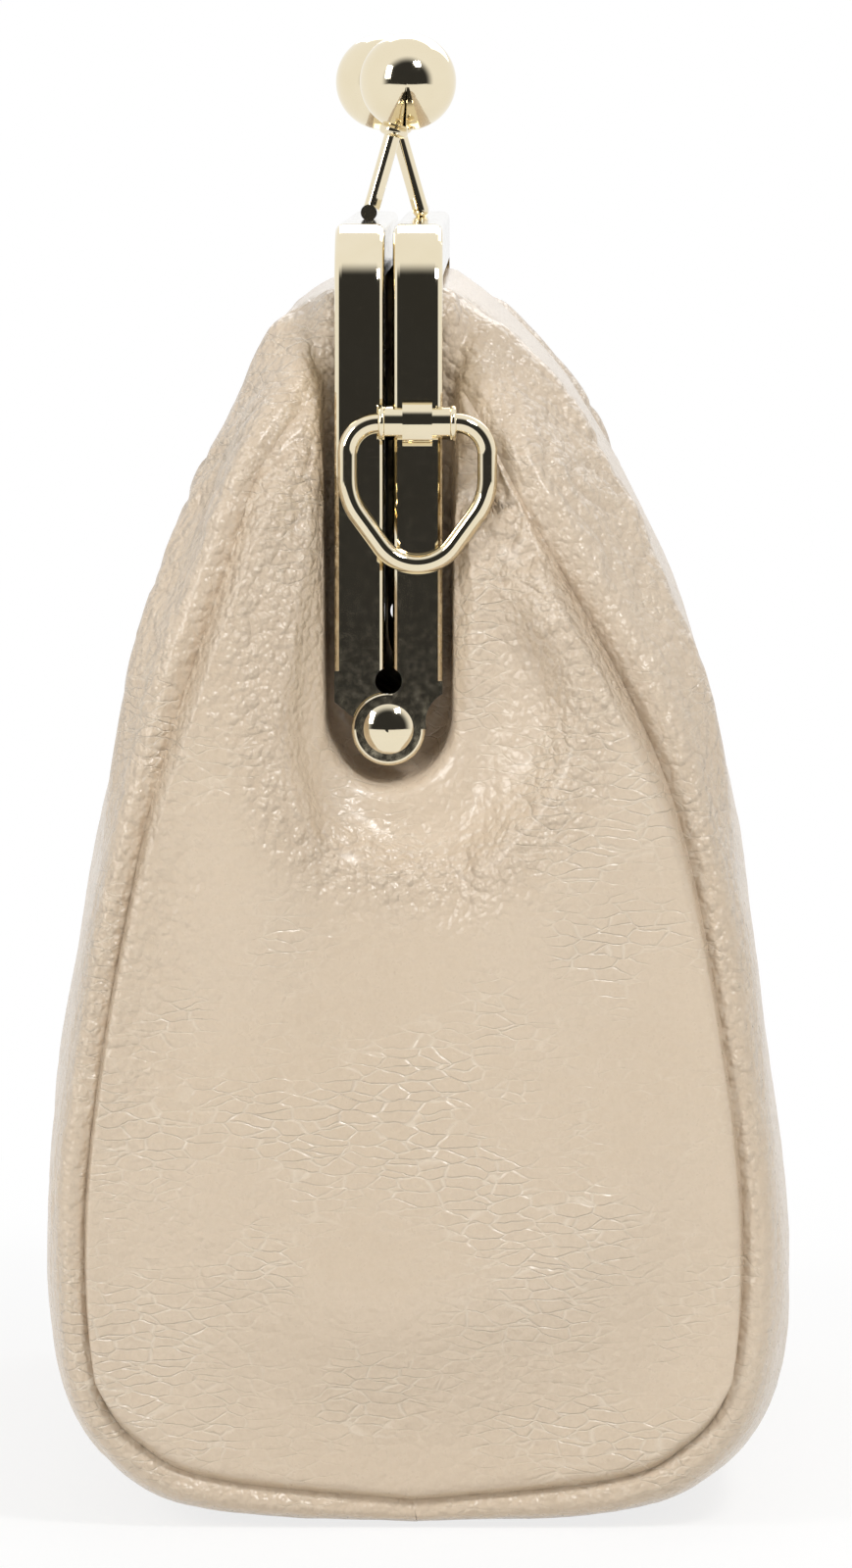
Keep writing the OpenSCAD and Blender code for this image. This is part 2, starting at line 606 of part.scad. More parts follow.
front_frame();
rear_frame();
packing_cord(-1);  // front_packing_cord
packing_cord(1);  // rear_packing_cord
hinge_rivet(-1);  // left_hinge_rivet
hinge_rivet(1);  // right_hinge_rivet
clasp_stem("front");  // front_clasp_stem
clasp_stem("rear");  // rear_clasp_stem
clasp_collar("front");  // front_clasp_collar
clasp_collar("rear");  // rear_clasp_collar
clasp_ball("front");  // front_clasp_ball
clasp_ball("rear");  // rear_clasp_ball
ring_saddle(-1);  // left_ring_saddle
ring_saddle(1);  // right_ring_saddle
ring_barrel(-1);  // left_ring_barrel
ring_barrel(1);  // right_ring_barrel
strap_ring(-1);  // left_ring
strap_ring(1);  // right_ring
leather_panel(-1);  // front_panel
leather_panel(1);  // back_panel
leather_gusset(-1);  // left_gusset
leather_gusset(1);  // right_gusset
lining_panel(-1);  // front_lining
lining_panel(1);  // back_lining
lining_gusset(-1);  // left_gusset_lining
lining_gusset(1);  // right_gusset_lining
base_board();
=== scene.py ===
"""Kiss lock frame purse of pebbled cream leather on a pale gold channel frame."""

import math

import bmesh
import bpy
import numpy as np
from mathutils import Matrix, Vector, noise


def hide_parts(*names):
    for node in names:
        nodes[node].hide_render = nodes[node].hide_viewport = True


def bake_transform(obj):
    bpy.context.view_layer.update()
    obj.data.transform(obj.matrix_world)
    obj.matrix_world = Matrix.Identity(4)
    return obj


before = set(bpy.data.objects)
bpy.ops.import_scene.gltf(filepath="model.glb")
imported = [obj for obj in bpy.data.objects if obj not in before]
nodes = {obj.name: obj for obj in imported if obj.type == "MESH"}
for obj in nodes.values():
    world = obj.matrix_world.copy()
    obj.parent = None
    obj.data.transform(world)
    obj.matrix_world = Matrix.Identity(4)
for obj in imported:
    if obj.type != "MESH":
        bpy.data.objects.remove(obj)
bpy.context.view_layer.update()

MM = 0.001

# Sizes of the bag and its frame, in millimetres, as the solids have them
FRAME_TOP = 176.0
BAG_WIDTH = 217.0
BAG_DEPTH = 107.0
GUSSET_WIDTH = 90.0
GUSSET_BELLY = 4.0
LEAN = 4.3
LEATHER = 1.4
LINING = 0.5
LINING_ROOM = 1.8
FRAME_LENGTH = 200.0
LEG_LENGTH = 68.0
CHANNEL_WIDTH = 6.75
CHANNEL_DEPTH = 7.0
WALL = 0.8
FRAME_GAP = 1.1
CORNER_RADIUS = 11.0
PACKING = 1.5
SEAM_DROP = 21.0
EAR_RADIUS = 5.0
LEATHER_BEND = 4.5
SEAM_FALL = (2.5, 11.4)  # the seam's first rows below its top
SEAM_OUT = 3.2  # its first row outside the frame's side
SEAM_IN = 5  # its first row inside the legs' faces
SETTLE = 0.08  # how far the base settles, which leaves its middle flat
SETTLE_ROW = 8  # the row from which it settles
EDGE_ROOM = 0.45  # between the packing and the leather's edge

HINGE_Z = FRAME_TOP - LEG_LENGTH
LEG_X = FRAME_LENGTH / 2
OUTER_Y = FRAME_GAP / 2 + CHANNEL_WIDTH
CORNER_Z = FRAME_TOP - CORNER_RADIUS
CORNER_X = LEG_X - CORNER_RADIUS
EDGE_DEPTH = 4.0
EDGE_Y = OUTER_Y - WALL - PACKING - EDGE_ROOM
EXIT_DEPTH = CHANNEL_DEPTH + 1.6
EXIT_Y = EDGE_Y + 0.3
WRAP_DEPTH = CHANNEL_DEPTH + 2
WRAP_Y = OUTER_Y + 1.3
SEAM_Z = FRAME_TOP - SEAM_DROP
BEND_LENGTH = math.pi / 2 * (CORNER_RADIUS - EDGE_DEPTH)
SEAM_RUN = CORNER_X + BEND_LENGTH + CORNER_Z - SEAM_Z
SHOULDER_Z = FRAME_TOP - CHANNEL_DEPTH
LEG_END = HINGE_Z + 4
BEND_LOW = HINGE_Z - 34  # below this height the bag stays still when the frame opens
BEND_HIGH = FRAME_TOP - 10  # above this height it follows its frame half in full

# The bag's outlines from the shoulder to the middle of the base: share of the half depth, share of
# the shoulder's height, share of the lean, and for the seam its share of the way to the full width.
# The seam's first row takes its place from SEAM_OUT, SEAM_FALL and SEAM_IN instead, and its second
# row its height from SEAM_FALL
MIDDLE = np.array([
    (0.28, 0.964, 0), (0.452, 0.893, 0.5), (0.617, 0.787, 0.88), (0.751, 0.68, 1), (0.869, 0.556, 1),
    (0.963, 0.402, 1), (0.996, 0.249, 1), (0.963, 0.118, 1), (0.804, 0.0355, 1), (0.523, 0, 1), (0, 0, 1),
])
SEAM = np.array([
    (0.233, 0.902, 0, -0.59), (0.36, 0.85, -0.2, 0.12), (0.5, 0.769, 0.15, 0.47), (0.68, 0.66, 0.6, 0.7),
    (0.811, 0.556, 0.8, 0.85), (0.927, 0.399, 0.8, 1), (0.991, 0.2485, 0.8, 0.98), (0.956, 0.118, 0.8, 0.82),
    (0.787, 0.0586, 0.8, 0.65), (0.556, 0.035, 0.8, 0.6), (0, 0.019, 0.8, 0.53),
])
PATH_ROWS = 3
LAST_ROW = PATH_ROWS + len(MIDDLE) - 1
CORNER_ROW = 10
HINGE_SHARE = 0.3
FULLNESS = (6, 0.4)  # how squarely a panel swells to its full shape beside the seams

# The gusset below the hinge, in millimetres
TUCK_ROOM = (2.6, 2.9, 4.4)  # its first rows below the ears
UNDER_EAR_IN = 0.4  # how much closer in it turns out below the ears, fading towards the seams
PROUD = 2.6  # how far it stands outside the legs' faces
PROUD_FALL = 2.0  # how much less it does so at the seams
PROUD_BLEND = 10  # how softly that level passes into the belly, in square millimetres
PROUD_BACK = 0.6  # taken off again, as the soft passage lifts both
HUG = {-1: (128, 16), 1: (114, 14)}  # the height from which it hugs the leg, and over how much
TURN_WIDE, TURN_TIGHT, TURN_SLOW = 1.9, 1.2, 9  # how wide it turns out: below, at the leg, and the rest
TURN_QUICK_SHARE, TURN_SLOW_SHARE = 0.86, 0.14
FOOT_FROM, FOOT_LENGTH = 0.7, 0.3  # the share of its rows from which it runs to the base's edge
SEAM_POWER = 6  # how late it bends to the seam


def smooth(t):
    t = np.clip(t, 0, 1)
    return t * t * (3 - 2 * t)


def mix(a, b, t):
    return a + (b - a) * t


def curve(points, k):
    """Catmull-Rom curve through points[0], points[1], ... at the rows k."""
    k = np.atleast_1d(np.asarray(k, float))
    i = np.clip(np.floor(k).astype(int), 0, len(points) - 2)
    t = (k - i).reshape((-1,) + (1,) * (points.ndim - 1))
    a, b = points[np.maximum(i - 1, 0)], points[i]
    c, d = points[i + 1], points[np.minimum(i + 2, len(points) - 1)]
    return 0.5 * (2 * b + (c - a) * t + (2 * a - 5 * b + 4 * c - d) * t**2 + (3 * b - a - 3 * c + d) * t**3)


def frame_path(u, depth, y):
    """Points along the frame, depth in from its face, at the share u of the way from its middle to the seam.

    The face turns the frame's corner, and the share is below 0 on the left."""
    s = np.abs(u) * SEAM_RUN
    radius = max(CORNER_RADIUS - depth, LEATHER_BEND)
    cx, cz = LEG_X - depth - radius, FRAME_TOP - depth - radius
    turn = np.clip((s - CORNER_X) / BEND_LENGTH, 0, 1) * math.pi / 2
    x = np.where(s <= CORNER_X, s / CORNER_X * cx, cx + radius * np.sin(turn))
    down = np.clip((s - CORNER_X - BEND_LENGTH) / (CORNER_Z - SEAM_Z), 0, 1)
    z = np.where(turn < math.pi / 2, cz + radius * np.cos(turn), mix(cz, SEAM_Z, down))
    return np.stack([np.sign(u) * x, np.full_like(x, y), z], -1)


def panel_points(u, k, side):
    """Surface of a panel: u runs from the seam at -1 to the seam at 1, k down the rows."""
    u = np.asarray(u, float)
    rows = [
        frame_path(u, EDGE_DEPTH, side * EDGE_Y),
        frame_path(u, EXIT_DEPTH, side * EXIT_Y),
        frame_path(u, WRAP_DEPTH, side * WRAP_Y),
    ]
    full = np.power(1 - np.abs(u) ** FULLNESS[0], FULLNESS[1])
    for i, (middle, seam) in enumerate(zip(MIDDLE, SEAM)):
        middle_y = side * middle[0] * BAG_DEPTH / 2 + LEAN * middle[2]
        seam_y = side * (OUTER_Y + SEAM_OUT if i == 0 else seam[0] * GUSSET_WIDTH / 2) + LEAN * seam[2]
        seam_z = SEAM_Z - SEAM_FALL[i] if i < len(SEAM_FALL) else seam[1] * SHOULDER_Z
        seam_x = LEG_X - SEAM_IN if i == 0 else LEG_X + seam[3] * (BAG_WIDTH / 2 - LEG_X)
        rows.append(np.stack([
            u * seam_x, mix(seam_y, middle_y, full), mix(seam_z, middle[1] * SHOULDER_Z, full)
        ], -1))
    points = curve(np.array(rows), k)
    settled = np.atleast_1d(k) > SETTLE_ROW
    points[settled, :, 2] = np.maximum(0, points[settled, :, 2] - SETTLE)
    return points


def gusset_points(a, k):
    """Surface of the right gusset: a runs from -1 at the front seam over 0 below the hinge to 1 at the
    back seam, k down the rows."""
    a = np.asarray(a, float)
    k = np.atleast_1d(np.asarray(k, float))
    share, sign = np.abs(a), np.where(a < 0, -1.0, 1.0)

    def tuck(y, drop, x):
        """A row of the tucked edge: along both legs and round under the ears."""
        turn = math.pi / 2 * (1 - np.minimum(1, share / HINGE_SHARE))
        py = sign * y * np.cos(turn)
        pz = np.where(
            share < HINGE_SHARE,
            LEG_END - drop * np.sin(turn),
            mix(LEG_END, SEAM_Z, (share - HINGE_SHARE) / (1 - HINGE_SHARE)),
        )
        return np.stack([np.full_like(py, x), py, pz], -1)

    tucks = [
        tuck(EDGE_Y, EAR_RADIUS + TUCK_ROOM[0], LEG_X - EDGE_DEPTH),
        tuck(EXIT_Y, EAR_RADIUS + TUCK_ROOM[1], LEG_X - EXIT_DEPTH),
        tuck(WRAP_Y - UNDER_EAR_IN * (1 - share**2), EAR_RADIUS + TUCK_ROOM[2], LEG_X - WRAP_DEPTH),
    ]
    one = np.array([1.0])

    def outer(rows):
        """The rows outside the frame, from the tucked edge to the base and between the two seams."""
        t = ((rows - 2) / (CORNER_ROW - 2))[:, None]
        seam, foot, foot_corner, corner = {}, {}, {}, {}
        for side in (-1, 1):
            seam[side] = panel_points(one, rows, side)[:, 0]
            foot[side] = panel_points(one, mix(LAST_ROW, CORNER_ROW, share), side)[:, 0]
            foot_corner[side] = panel_points(one, [CORNER_ROW], side)[0, 0]
            corner[side] = np.array([LEG_X - WRAP_DEPTH, side * WRAP_Y, SEAM_Z])
        back = (sign > 0)[None, :, None]
        seam = np.where(back, seam[1][:, None], seam[-1][:, None])
        foot = np.where(back[0], foot[1], foot[-1])[None]
        edge_top = np.where(back, corner[1], corner[-1])
        edge = mix(edge_top, np.where(back, foot_corner[1], foot_corner[-1]), t[..., None])
        top = tucks[2][None]
        p = mix(top, foot, t[..., None]) + (share**2)[None, :, None] * (seam - edge)
        away = np.hypot(p[..., 1] - top[..., 1], p[..., 2] - top[..., 2])
        belly = seam[..., 0] + GUSSET_BELLY * (1 - share**2) * np.sin(math.pi * np.minimum(1, t))
        proud = LEG_X + PROUD - PROUD_FALL * share**2
        # the greater of the two, with a soft passage between them
        belly = (belly + proud + np.sqrt((belly - proud) ** 2 + PROUD_BLEND)) / 2 - PROUD_BACK
        front_hug, back_hug = (smooth((p[..., 2] - HUG[side][0]) / HUG[side][1]) for side in (-1, 1))
        hug = np.where(sign[None] < 0, front_hug, back_hug)
        quick = 1 - np.exp(-((away / mix(TURN_WIDE, TURN_TIGHT, hug)) ** 2))
        slow = 1 - np.exp(-((away / TURN_SLOW) ** 2))
        rise = TURN_QUICK_SHARE * quick + TURN_SLOW_SHARE * slow
        to_foot = smooth((t - FOOT_FROM) / FOOT_LENGTH)
        low = mix(top[..., 0], mix(belly, foot[..., 0], to_foot), rise)
        p[..., 0] = mix(low, seam[..., 0], share**SEAM_POWER)
        return p

    points = np.zeros((len(k), len(a), 3))
    points[k >= 2] = outer(k[k >= 2])
    above = k < 2
    if above.any():
        points[above] = curve(np.array(tucks + [outer(np.array([3.0]))[0]]), k[above])
    return points


def grid_normals(points):
    """Unit normals of a grid of points, pointing the way the grid's rows cross its columns."""
    n = np.cross(np.gradient(points, axis=0), np.gradient(points, axis=1))
    return n / np.maximum(np.linalg.norm(n, axis=-1, keepdims=True), 1e-12)


def grid_piece(name, points, thickness, flip=False):
    """A sheet whose finished face lies on a grid of points, with its thickness behind that face."""
    rows, columns = points.shape[:2]
    bm = bmesh.new()
    bmesh.ops.create_grid(bm, x_segments=columns - 1, y_segments=rows - 1, size=0.5)
    flat = points.reshape(-1, 3) * MM
    for v in bm.verts:
        column = round((v.co.x + 0.5) * (columns - 1))
        row = round((v.co.y + 0.5) * (rows - 1))
        v.co = flat[row * columns + column]
    if flip:
        bmesh.ops.reverse_faces(bm, faces=bm.faces)
    for e in bm.edges:
        e.smooth = not e.is_boundary
    for f in bm.faces:
        f.smooth = True
    mesh = bpy.data.meshes.new(name)
    bm.to_mesh(mesh)
    bm.free()
    piece = bpy.data.objects.new(name, mesh)
    bpy.context.scene.collection.objects.link(piece)
    solidify = piece.modifiers.new("thickness", "SOLIDIFY")
    solidify.thickness = thickness * MM
    solidify.offset = -1
    return piece


# Colours and materials


def srgb(code):
    """Linear colour of a hex code."""
    channels = [int(code[i : i + 2], 16) / 255 for i in (1, 3, 5)]
    return [c / 12.92 if c <= 0.04045 else ((c + 0.055) / 1.055) ** 2.4 for c in channels] + [1]


def add(tree, kind, settings=(), **links):
    """Adds a node: settings name its properties or its sockets, and links name the sockets that feed it."""
    node = tree.nodes.new("ShaderNode" + kind)
    for key, value in dict(settings).items():
        if hasattr(node, key):
            setattr(node, key, value)
        else:
            node.inputs[key].default_value = value
    for key, socket in links.items():
        slot = int(key[1:]) if key[0] == "_" else key.replace("_", " ")
        tree.links.new(socket, node.inputs[slot])
    return node


def new_material(name):
    material = bpy.data.materials.new(name)
    material.use_nodes = True
    tree = material.node_tree
    return material, tree, tree.nodes["Principled BSDF"]


def full_grain_leather():
    """Calf leather, drum-dyed cream and milled soft: fine creases that run across it with a painted highlight
    along them, rounded pebbles with painted shade in their furrows that catch small highlights where it is
    gathered, and a soft wax sheen."""
    material, tree, skin = new_material("full_grain_leather")
    place = add(tree, "TexCoord").outputs["Object"]
    wobble = add(tree, "TexNoise", {"Scale": 170.0, "Detail": 3.0}, Vector=place)
    pull = add(tree, "VectorMath", {"operation": "MULTIPLY_ADD"}, _0=wobble.outputs["Color"], _2=place)
    pull.inputs[1].default_value = (0.0024, 0.0024, 0.0024)
    grain_here = add(tree, "Attribute", {"attribute_name": "grain"}).outputs["Fac"]
    # creases 4.2 mm long and 1.5 mm apart, in patches of 17 mm
    across = add(tree, "VectorMath", {"operation": "MULTIPLY"}, _0=pull.outputs[0])
    across.inputs[1].default_value = (1.0, 1.0, 2.8)
    crease = add(tree, "TexVoronoi", {"feature": "DISTANCE_TO_EDGE", "Scale": 240.0},
                 Vector=across.outputs[0])
    crease_line = add(tree, "MapRange", {"From Min": 0.0, "From Max": 0.075, "To Min": 1.0, "To Max": 0.0},
                      Value=crease.outputs["Distance"])
    patches = add(tree, "TexNoise", {"Scale": 60.0, "Detail": 3.0}, Vector=place)
    broken = add(tree, "MapRange", {"From Min": 0.44, "From Max": 0.62, "To Min": 0.08, "To Max": 1.0},
                 Value=patches.outputs["Fac"])
    line = add(tree, "Math", {"operation": "MULTIPLY"}, _0=crease_line.outputs[0], _1=broken.outputs[0])
    # pebbles 1.5 mm across with smaller ones of 0.7 mm among them
    pebble = add(tree, "TexVoronoi", {"feature": "SMOOTH_F1", "Scale": 660.0, "Smoothness": 0.2},
                 Vector=pull.outputs[0])
    small = add(tree, "TexVoronoi", {"feature": "SMOOTH_F1", "Scale": 1400.0, "Smoothness": 0.3},
                Vector=place)
    pebbles = add(tree, "Math", {"operation": "MULTIPLY_ADD"}, _0=small.outputs["Distance"],
                  _2=pebble.outputs["Distance"])
    pebbles.inputs[1].default_value = 0.35
    depth = add(tree, "MapRange", {"To Min": 0.16, "To Max": 1.25}, Value=grain_here)
    domes = add(tree, "Math", {"operation": "MULTIPLY"}, _0=pebbles.outputs[0], _1=depth.outputs[0])
    height = add(tree, "Math", {"operation": "MULTIPLY_ADD"}, _0=line.outputs[0], _2=domes.outputs[0])
    height.inputs[1].default_value = 0.2
    bump = add(tree, "Bump", {"Strength": 0.9, "Distance": 0.0006, "invert": True}, Height=height.outputs[0])
    # the dye drifts over 45 mm and is darker in pores of 0.7 mm
    cloud = add(tree, "TexNoise", {"Scale": 22.0, "Detail": 1.0}, Vector=place)
    tone = add(tree, "Mix", {"data_type": "RGBA", "A": srgb("#CFBDA6"), "B": srgb("#D1C0AB")},
               Factor=cloud.outputs["Fac"])
    pores = add(tree, "TexNoise", {"Scale": 1500.0, "Detail": 2.0}, Vector=place)
    speck = add(tree, "MapRange", {"From Min": 0.3, "From Max": 0.7, "To Min": 0.0, "To Max": 0.22},
                Value=pores.outputs["Fac"])
    dyed = add(tree, "Mix", {"data_type": "RGBA", "B": srgb("#BFAB92")}, A=tone.outputs["Result"],
               Factor=speck.outputs[0])
    # painted highlight: the crease lines are painted paler, as light catches their lower lips
    painted_crease_highlight = add(tree, "Math", {"operation": "MULTIPLY"}, _0=line.outputs[0])
    painted_crease_highlight.inputs[1].default_value = 0.28
    with_crease_highlight = add(tree, "Mix", {"data_type": "RGBA", "B": srgb("#EFE6D6")}, A=dyed.outputs["Result"],
               Factor=painted_crease_highlight.outputs[0])
    # painted shade: darker in the furrows between the pebbles
    painted_furrow_shade = add(tree, "MapRange", {"From Min": 0.35, "From Max": 0.9, "To Min": 0.0, "To Max": 0.2},
                 Value=domes.outputs[0])
    shaded = add(tree, "Mix", {"data_type": "RGBA", "B": srgb("#B29C83")}, A=with_crease_highlight.outputs["Result"],
                 Factor=painted_furrow_shade.outputs[0])
    tree.links.new(shaded.outputs["Result"], skin.inputs["Base Color"])
    # the wax evens the sheen out, and the pores break it a little
    shine = add(tree, "MapRange", {"From Min": 0.3, "From Max": 0.7, "To Min": 0.27, "To Max": 0.31},
                Value=pores.outputs["Fac"])
    tree.links.new(shine.outputs[0], skin.inputs["Roughness"])
    tree.links.new(bump.outputs[0], skin.inputs["Normal"])
    skin.inputs["IOR"].default_value = 1.5
    skin.inputs["Coat Weight"].default_value = 0.3
    skin.inputs["Coat Roughness"].default_value = 0.2
    return material


def gold_plate():
    """Pale gold plate over polished brass: a mirror finish with faint polishing waves and hairline wear."""
    material, tree, metal = new_material("polished_gold_plate")
    place = add(tree, "TexCoord").outputs["Object"]
    # polishing waves 6 mm long and wear of 1.1 mm
    waves = add(tree, "TexNoise", {"Scale": 160.0, "Detail": 2.0}, Vector=place)
    wear = add(tree, "TexNoise", {"Scale": 900.0, "Detail": 4.0}, Vector=place)
    bump = add(tree, "Bump", {"Strength": 0.02, "Distance": 0.0002}, Height=waves.outputs["Fac"])
    rough = add(tree, "MapRange", {"From Min": 0.35, "From Max": 0.75, "To Min": 0.03, "To Max": 0.09},
                Value=wear.outputs["Fac"])
    tone = add(tree, "Mix", {"data_type": "RGBA", "A": srgb("#EDE2C8"), "B": srgb("#E6D9BA")},
               Factor=waves.outputs["Fac"])
    tree.links.new(tone.outputs["Result"], metal.inputs["Base Color"])
    tree.links.new(rough.outputs[0], metal.inputs["Roughness"])
    tree.links.new(bump.outputs[0], metal.inputs["Normal"])
    metal.inputs["Metallic"].default_value = 1
    return material


def cotton_twill():
    """Cotton twill lining, woven: fine diagonal ribs, matt."""
    material, tree, cloth = new_material("cotton_twill_lining")
    place = add(tree, "TexCoord").outputs["Object"]
    # ribs 1.3 mm apart on the panels, drawn coarser than real thread so that they show
    ribs = add(tree, "TexWave", {"bands_direction": "DIAGONAL", "Scale": 350.0, "Distortion": 0.6,
                                 "Detail": 2.0, "Detail Scale": 3.0}, Vector=place)
    bump = add(tree, "Bump", {"Strength": 0.5, "Distance": 0.0002}, Height=ribs.outputs["Fac"])
    tone = add(tree, "Mix", {"data_type": "RGBA", "A": srgb("#B7A78C"), "B": srgb("#C9BBA1")},
               Factor=ribs.outputs["Fac"])
    tree.links.new(tone.outputs["Result"], cloth.inputs["Base Color"])
    tree.links.new(bump.outputs[0], cloth.inputs["Normal"])
    cloth.inputs["Roughness"].default_value = 0.85
    cloth.inputs["Sheen Weight"].default_value = 0.15
    return material


def fibre(name, dark, light):
    """Pressed or twisted paper fibre: matt and flecked."""
    material, tree, paper = new_material(name)
    place = add(tree, "TexCoord").outputs["Object"]
    # flecks of 0.8 mm
    flecks = add(tree, "TexNoise", {"Scale": 1200.0, "Detail": 5.0}, Vector=place)
    tone = add(tree, "Mix", {"data_type": "RGBA", "A": srgb(dark), "B": srgb(light)},
               Factor=flecks.outputs["Fac"])
    bump = add(tree, "Bump", {"Strength": 0.4, "Distance": 0.0001}, Height=flecks.outputs["Fac"])
    tree.links.new(tone.outputs["Result"], paper.inputs["Base Color"])
    tree.links.new(bump.outputs[0], paper.inputs["Normal"])
    paper.inputs["Roughness"].default_value = 0.9
    return material


leather = full_grain_leather()
gold = gold_plate()
twill = cotton_twill()
board = fibre("pressed_fibre_board", "#7D6B53", "#9A876B")
paper_cord = fibre("twisted_paper_cord", "#A08B69", "#BBA886")

METAL_NODES = [
    "front_frame", "rear_frame", "left_hinge_rivet", "right_hinge_rivet",
    "front_clasp_stem", "rear_clasp_stem", "front_clasp_collar", "rear_clasp_collar",
    "front_clasp_ball", "rear_clasp_ball", "left_ring_saddle", "right_ring_saddle",
    "left_ring_barrel", "right_ring_barrel", "left_ring", "right_ring",
]


def dress(name, material):
    """Gives a CAD piece that keeps its shape its only material."""
    mesh = nodes[name].data
    mesh.materials.clear()
    mesh.materials.append(material)


for metal_node in METAL_NODES:
    dress(metal_node, gold)
dress("base_board", board)
dress("front_packing_cord", paper_cord)
dress("rear_packing_cord", paper_cord)


# Leather


def spaced(values, counts):
    """Runs of evenly spaced numbers between the given values."""
    parts = [np.linspace(a, b, n, endpoint=False) for a, b, n in zip(values, values[1:], counts)]
    return np.concatenate(parts + [[values[-1]]])


# Where the grids of the sheets have their points, closer where the leather turns
ROWS = spaced([0, 2, 4, CORNER_ROW], [10, 28, 150])
PANEL_K = np.concatenate([ROWS, spaced([CORNER_ROW, LAST_ROW], [36])[1:]])
PANEL_U = spaced([0, 0.8, 0.94, 1], [50, 18, 24])
PANEL_U = np.concatenate([-PANEL_U[:0:-1], PANEL_U])
GUSSET_A = spaced([0, HINGE_SHARE, 0.9, 1], [28, 70, 26])

# Folds of the ends as the frame gathers them, as points (y, z) in millimetres
CROWN_FOLD = [
    (-10.8, 150), (-11.8, 141.4), (-12.6, 133.3), (-13.8, 125.4), (-15.6, 116.7), (-17.3, 108.1),
    (-16.3, 100.7), (-12.2, 93.8), (-7.3, 90.6), (-0.4, 88.2), (8.2, 88), (16.2, 90.6), (21.6, 95.5),
    (25.3, 102.4), (27, 111), (24.6, 119.8), (18.4, 128), (14, 135),
]
REAR_LIP = [(10.4, 140), (11.6, 132), (12.4, 124), (11.4, 116), (9, 110)]
REAR_CREASE = [(12, 147), (15.1, 143.5), (19.5, 137)]
CROWN_HEIGHT = 4.4
CROWN_INNER, CROWN_OUTER = 4.4, 18  # how wide it falls away on either side
CROWN_TAPER = 0.12
LIP_WIDTH, LIP_HEIGHT = 2.8, 2.4
CREASE_WIDTH, CREASE_DEPTH = 1.6, 1.8


def distance_to(path, y, z):
    """Distance in the plane of the ends to a path, and how far along the path the nearest point is."""
    path = np.array(path, float)
    steps = np.linalg.norm(np.diff(path, axis=0), axis=1)
    starts = np.concatenate([[0], np.cumsum(steps)[:-1]])
    best, share = np.full(y.shape, 1e9), np.zeros(y.shape)
    for p, q, step, start in zip(path, path[1:], steps, starts):
        t = np.clip(((y - p[0]) * (q[0] - p[0]) + (z - p[1]) * (q[1] - p[1])) / step**2, 0, 1)
        d = np.hypot(y - p[0] - t * (q[0] - p[0]), z - p[1] - t * (q[1] - p[1]))
        share = np.where(d < best, (start + t * step) / steps.sum(), share)
        best = np.minimum(best, d)
    return best, share


def fold(path, y, z, width, height, taper=0.15):
    """A rounded fold along a path that dies away at both ends."""
    d, share = distance_to(path, y, z)
    return height * np.exp(-((d / width) ** 2)) * smooth(share / taper) * smooth((1 - share) / taper)


def inside(path, y, z):
    """Whether points lie inside a closed path."""
    odd = np.zeros(y.shape, bool)
    for (py, pz), (qy, qz) in zip(path, path[1:] + path[:1]):
        if pz != qz:
            odd ^= ((pz > z) != (qz > z)) & (y < (qy - py) * (z - pz) / (qz - pz) + py)
    return odd


def crown(y, z):
    """The U-shaped crown round the hinge: steep on its inner side, and outside it falls away slowly."""
    d, share = distance_to(CROWN_FOLD, y, z)
    width = np.where(inside(CROWN_FOLD, y, z), CROWN_INNER, CROWN_OUTER)
    return np.exp(-((d / width) ** 2)) * smooth(share / CROWN_TAPER) * smooth((1 - share) / CROWN_TAPER)


SEED_STEP = 17.3
FURROW = 3.2  # how narrow the furrows of the wrinkles are


def lumps(points, size, seed, stretch=(1, 1, 1)):
    """Smooth noise from -1 to 1 over a grid of points, with lumps of that size in mm."""
    flat = points.reshape(-1, 3) * np.array(stretch) / size + seed * SEED_STEP
    return np.array([noise.noise(v) for v in flat.tolist()]).reshape(points.shape[:2])


def wrinkles(points, size, seed, stretch=(1, 1, 1)):
    """Rounded ridges with sharp furrows between them, from -1 in a furrow to 0."""
    return -((1 - np.minimum(1, np.abs(lumps(points, size, seed, stretch)) * FURROW)) ** 2)


def run_from_end(points):
    """Length along each row from its first point."""
    steps = np.linalg.norm(np.diff(points, axis=1), axis=2)
    return np.concatenate([np.zeros((len(points), 1)), np.cumsum(steps, axis=1)], axis=1)


def row_normals(points, centre):
    """Unit normals of a grid of points, all on the side away from a centre."""
    n = grid_normals(points)
    flip = np.sign((n * (points - np.array(centre))).sum(-1).mean())
    return n * flip


BAG_CENTRE = (0, 0, 80)
BEHIND_GUSSET = (90, 0, 80)


def seam_mitre(side):
    """Direction out of the bag between the panel's and the gusset's faces, along the right end's seam."""
    panel = panel_points(np.array([0.97, 0.985, 1.0]), PANEL_K, side)
    gusset = gusset_points(np.array([1.0, 0.985, 0.97]) * side, ROWS)
    along = np.linspace(1, 0, len(PANEL_K) - len(ROWS) + 1)
    foot = gusset_points(along * side, [CORNER_ROW - 0.1, CORNER_ROW - 0.05, CORNER_ROW])
    gusset = np.concatenate([row_normals(gusset, BAG_CENTRE)[:, 0], row_normals(foot, BAG_CENTRE)[-1, 1:]])
    n = row_normals(panel, BAG_CENTRE)[:, 2] + gusset
    return n / np.linalg.norm(n, axis=1, keepdims=True)


MITRE = {side: seam_mitre(side) for side in (-1, 1)}
GROOVE = 1.3
GROOVE_WIDTH = 0.95
FRONT_TIGHT, BACK_TIGHT = 0.8, 0.3


def panel_mitre(side, points):
    """The mitre's direction beside a panel's two seams, for each of the panel's points."""
    return MITRE[side][:, None] * np.where(points[..., :1] < 0, [-1.0, 1, 1], [1.0, 1, 1])


def groove_depth(run, points):
    """Depth of the groove at a seam: shallower high up, where the leather is drawn tight, mostly in front."""
    tight = np.where(points[..., 1] < 0, FRONT_TIGHT, BACK_TIGHT) * smooth((points[..., 2] - 80) / 35)
    return GROOVE * (1 - tight) * np.exp(-((run / GROOVE_WIDTH) ** 2))


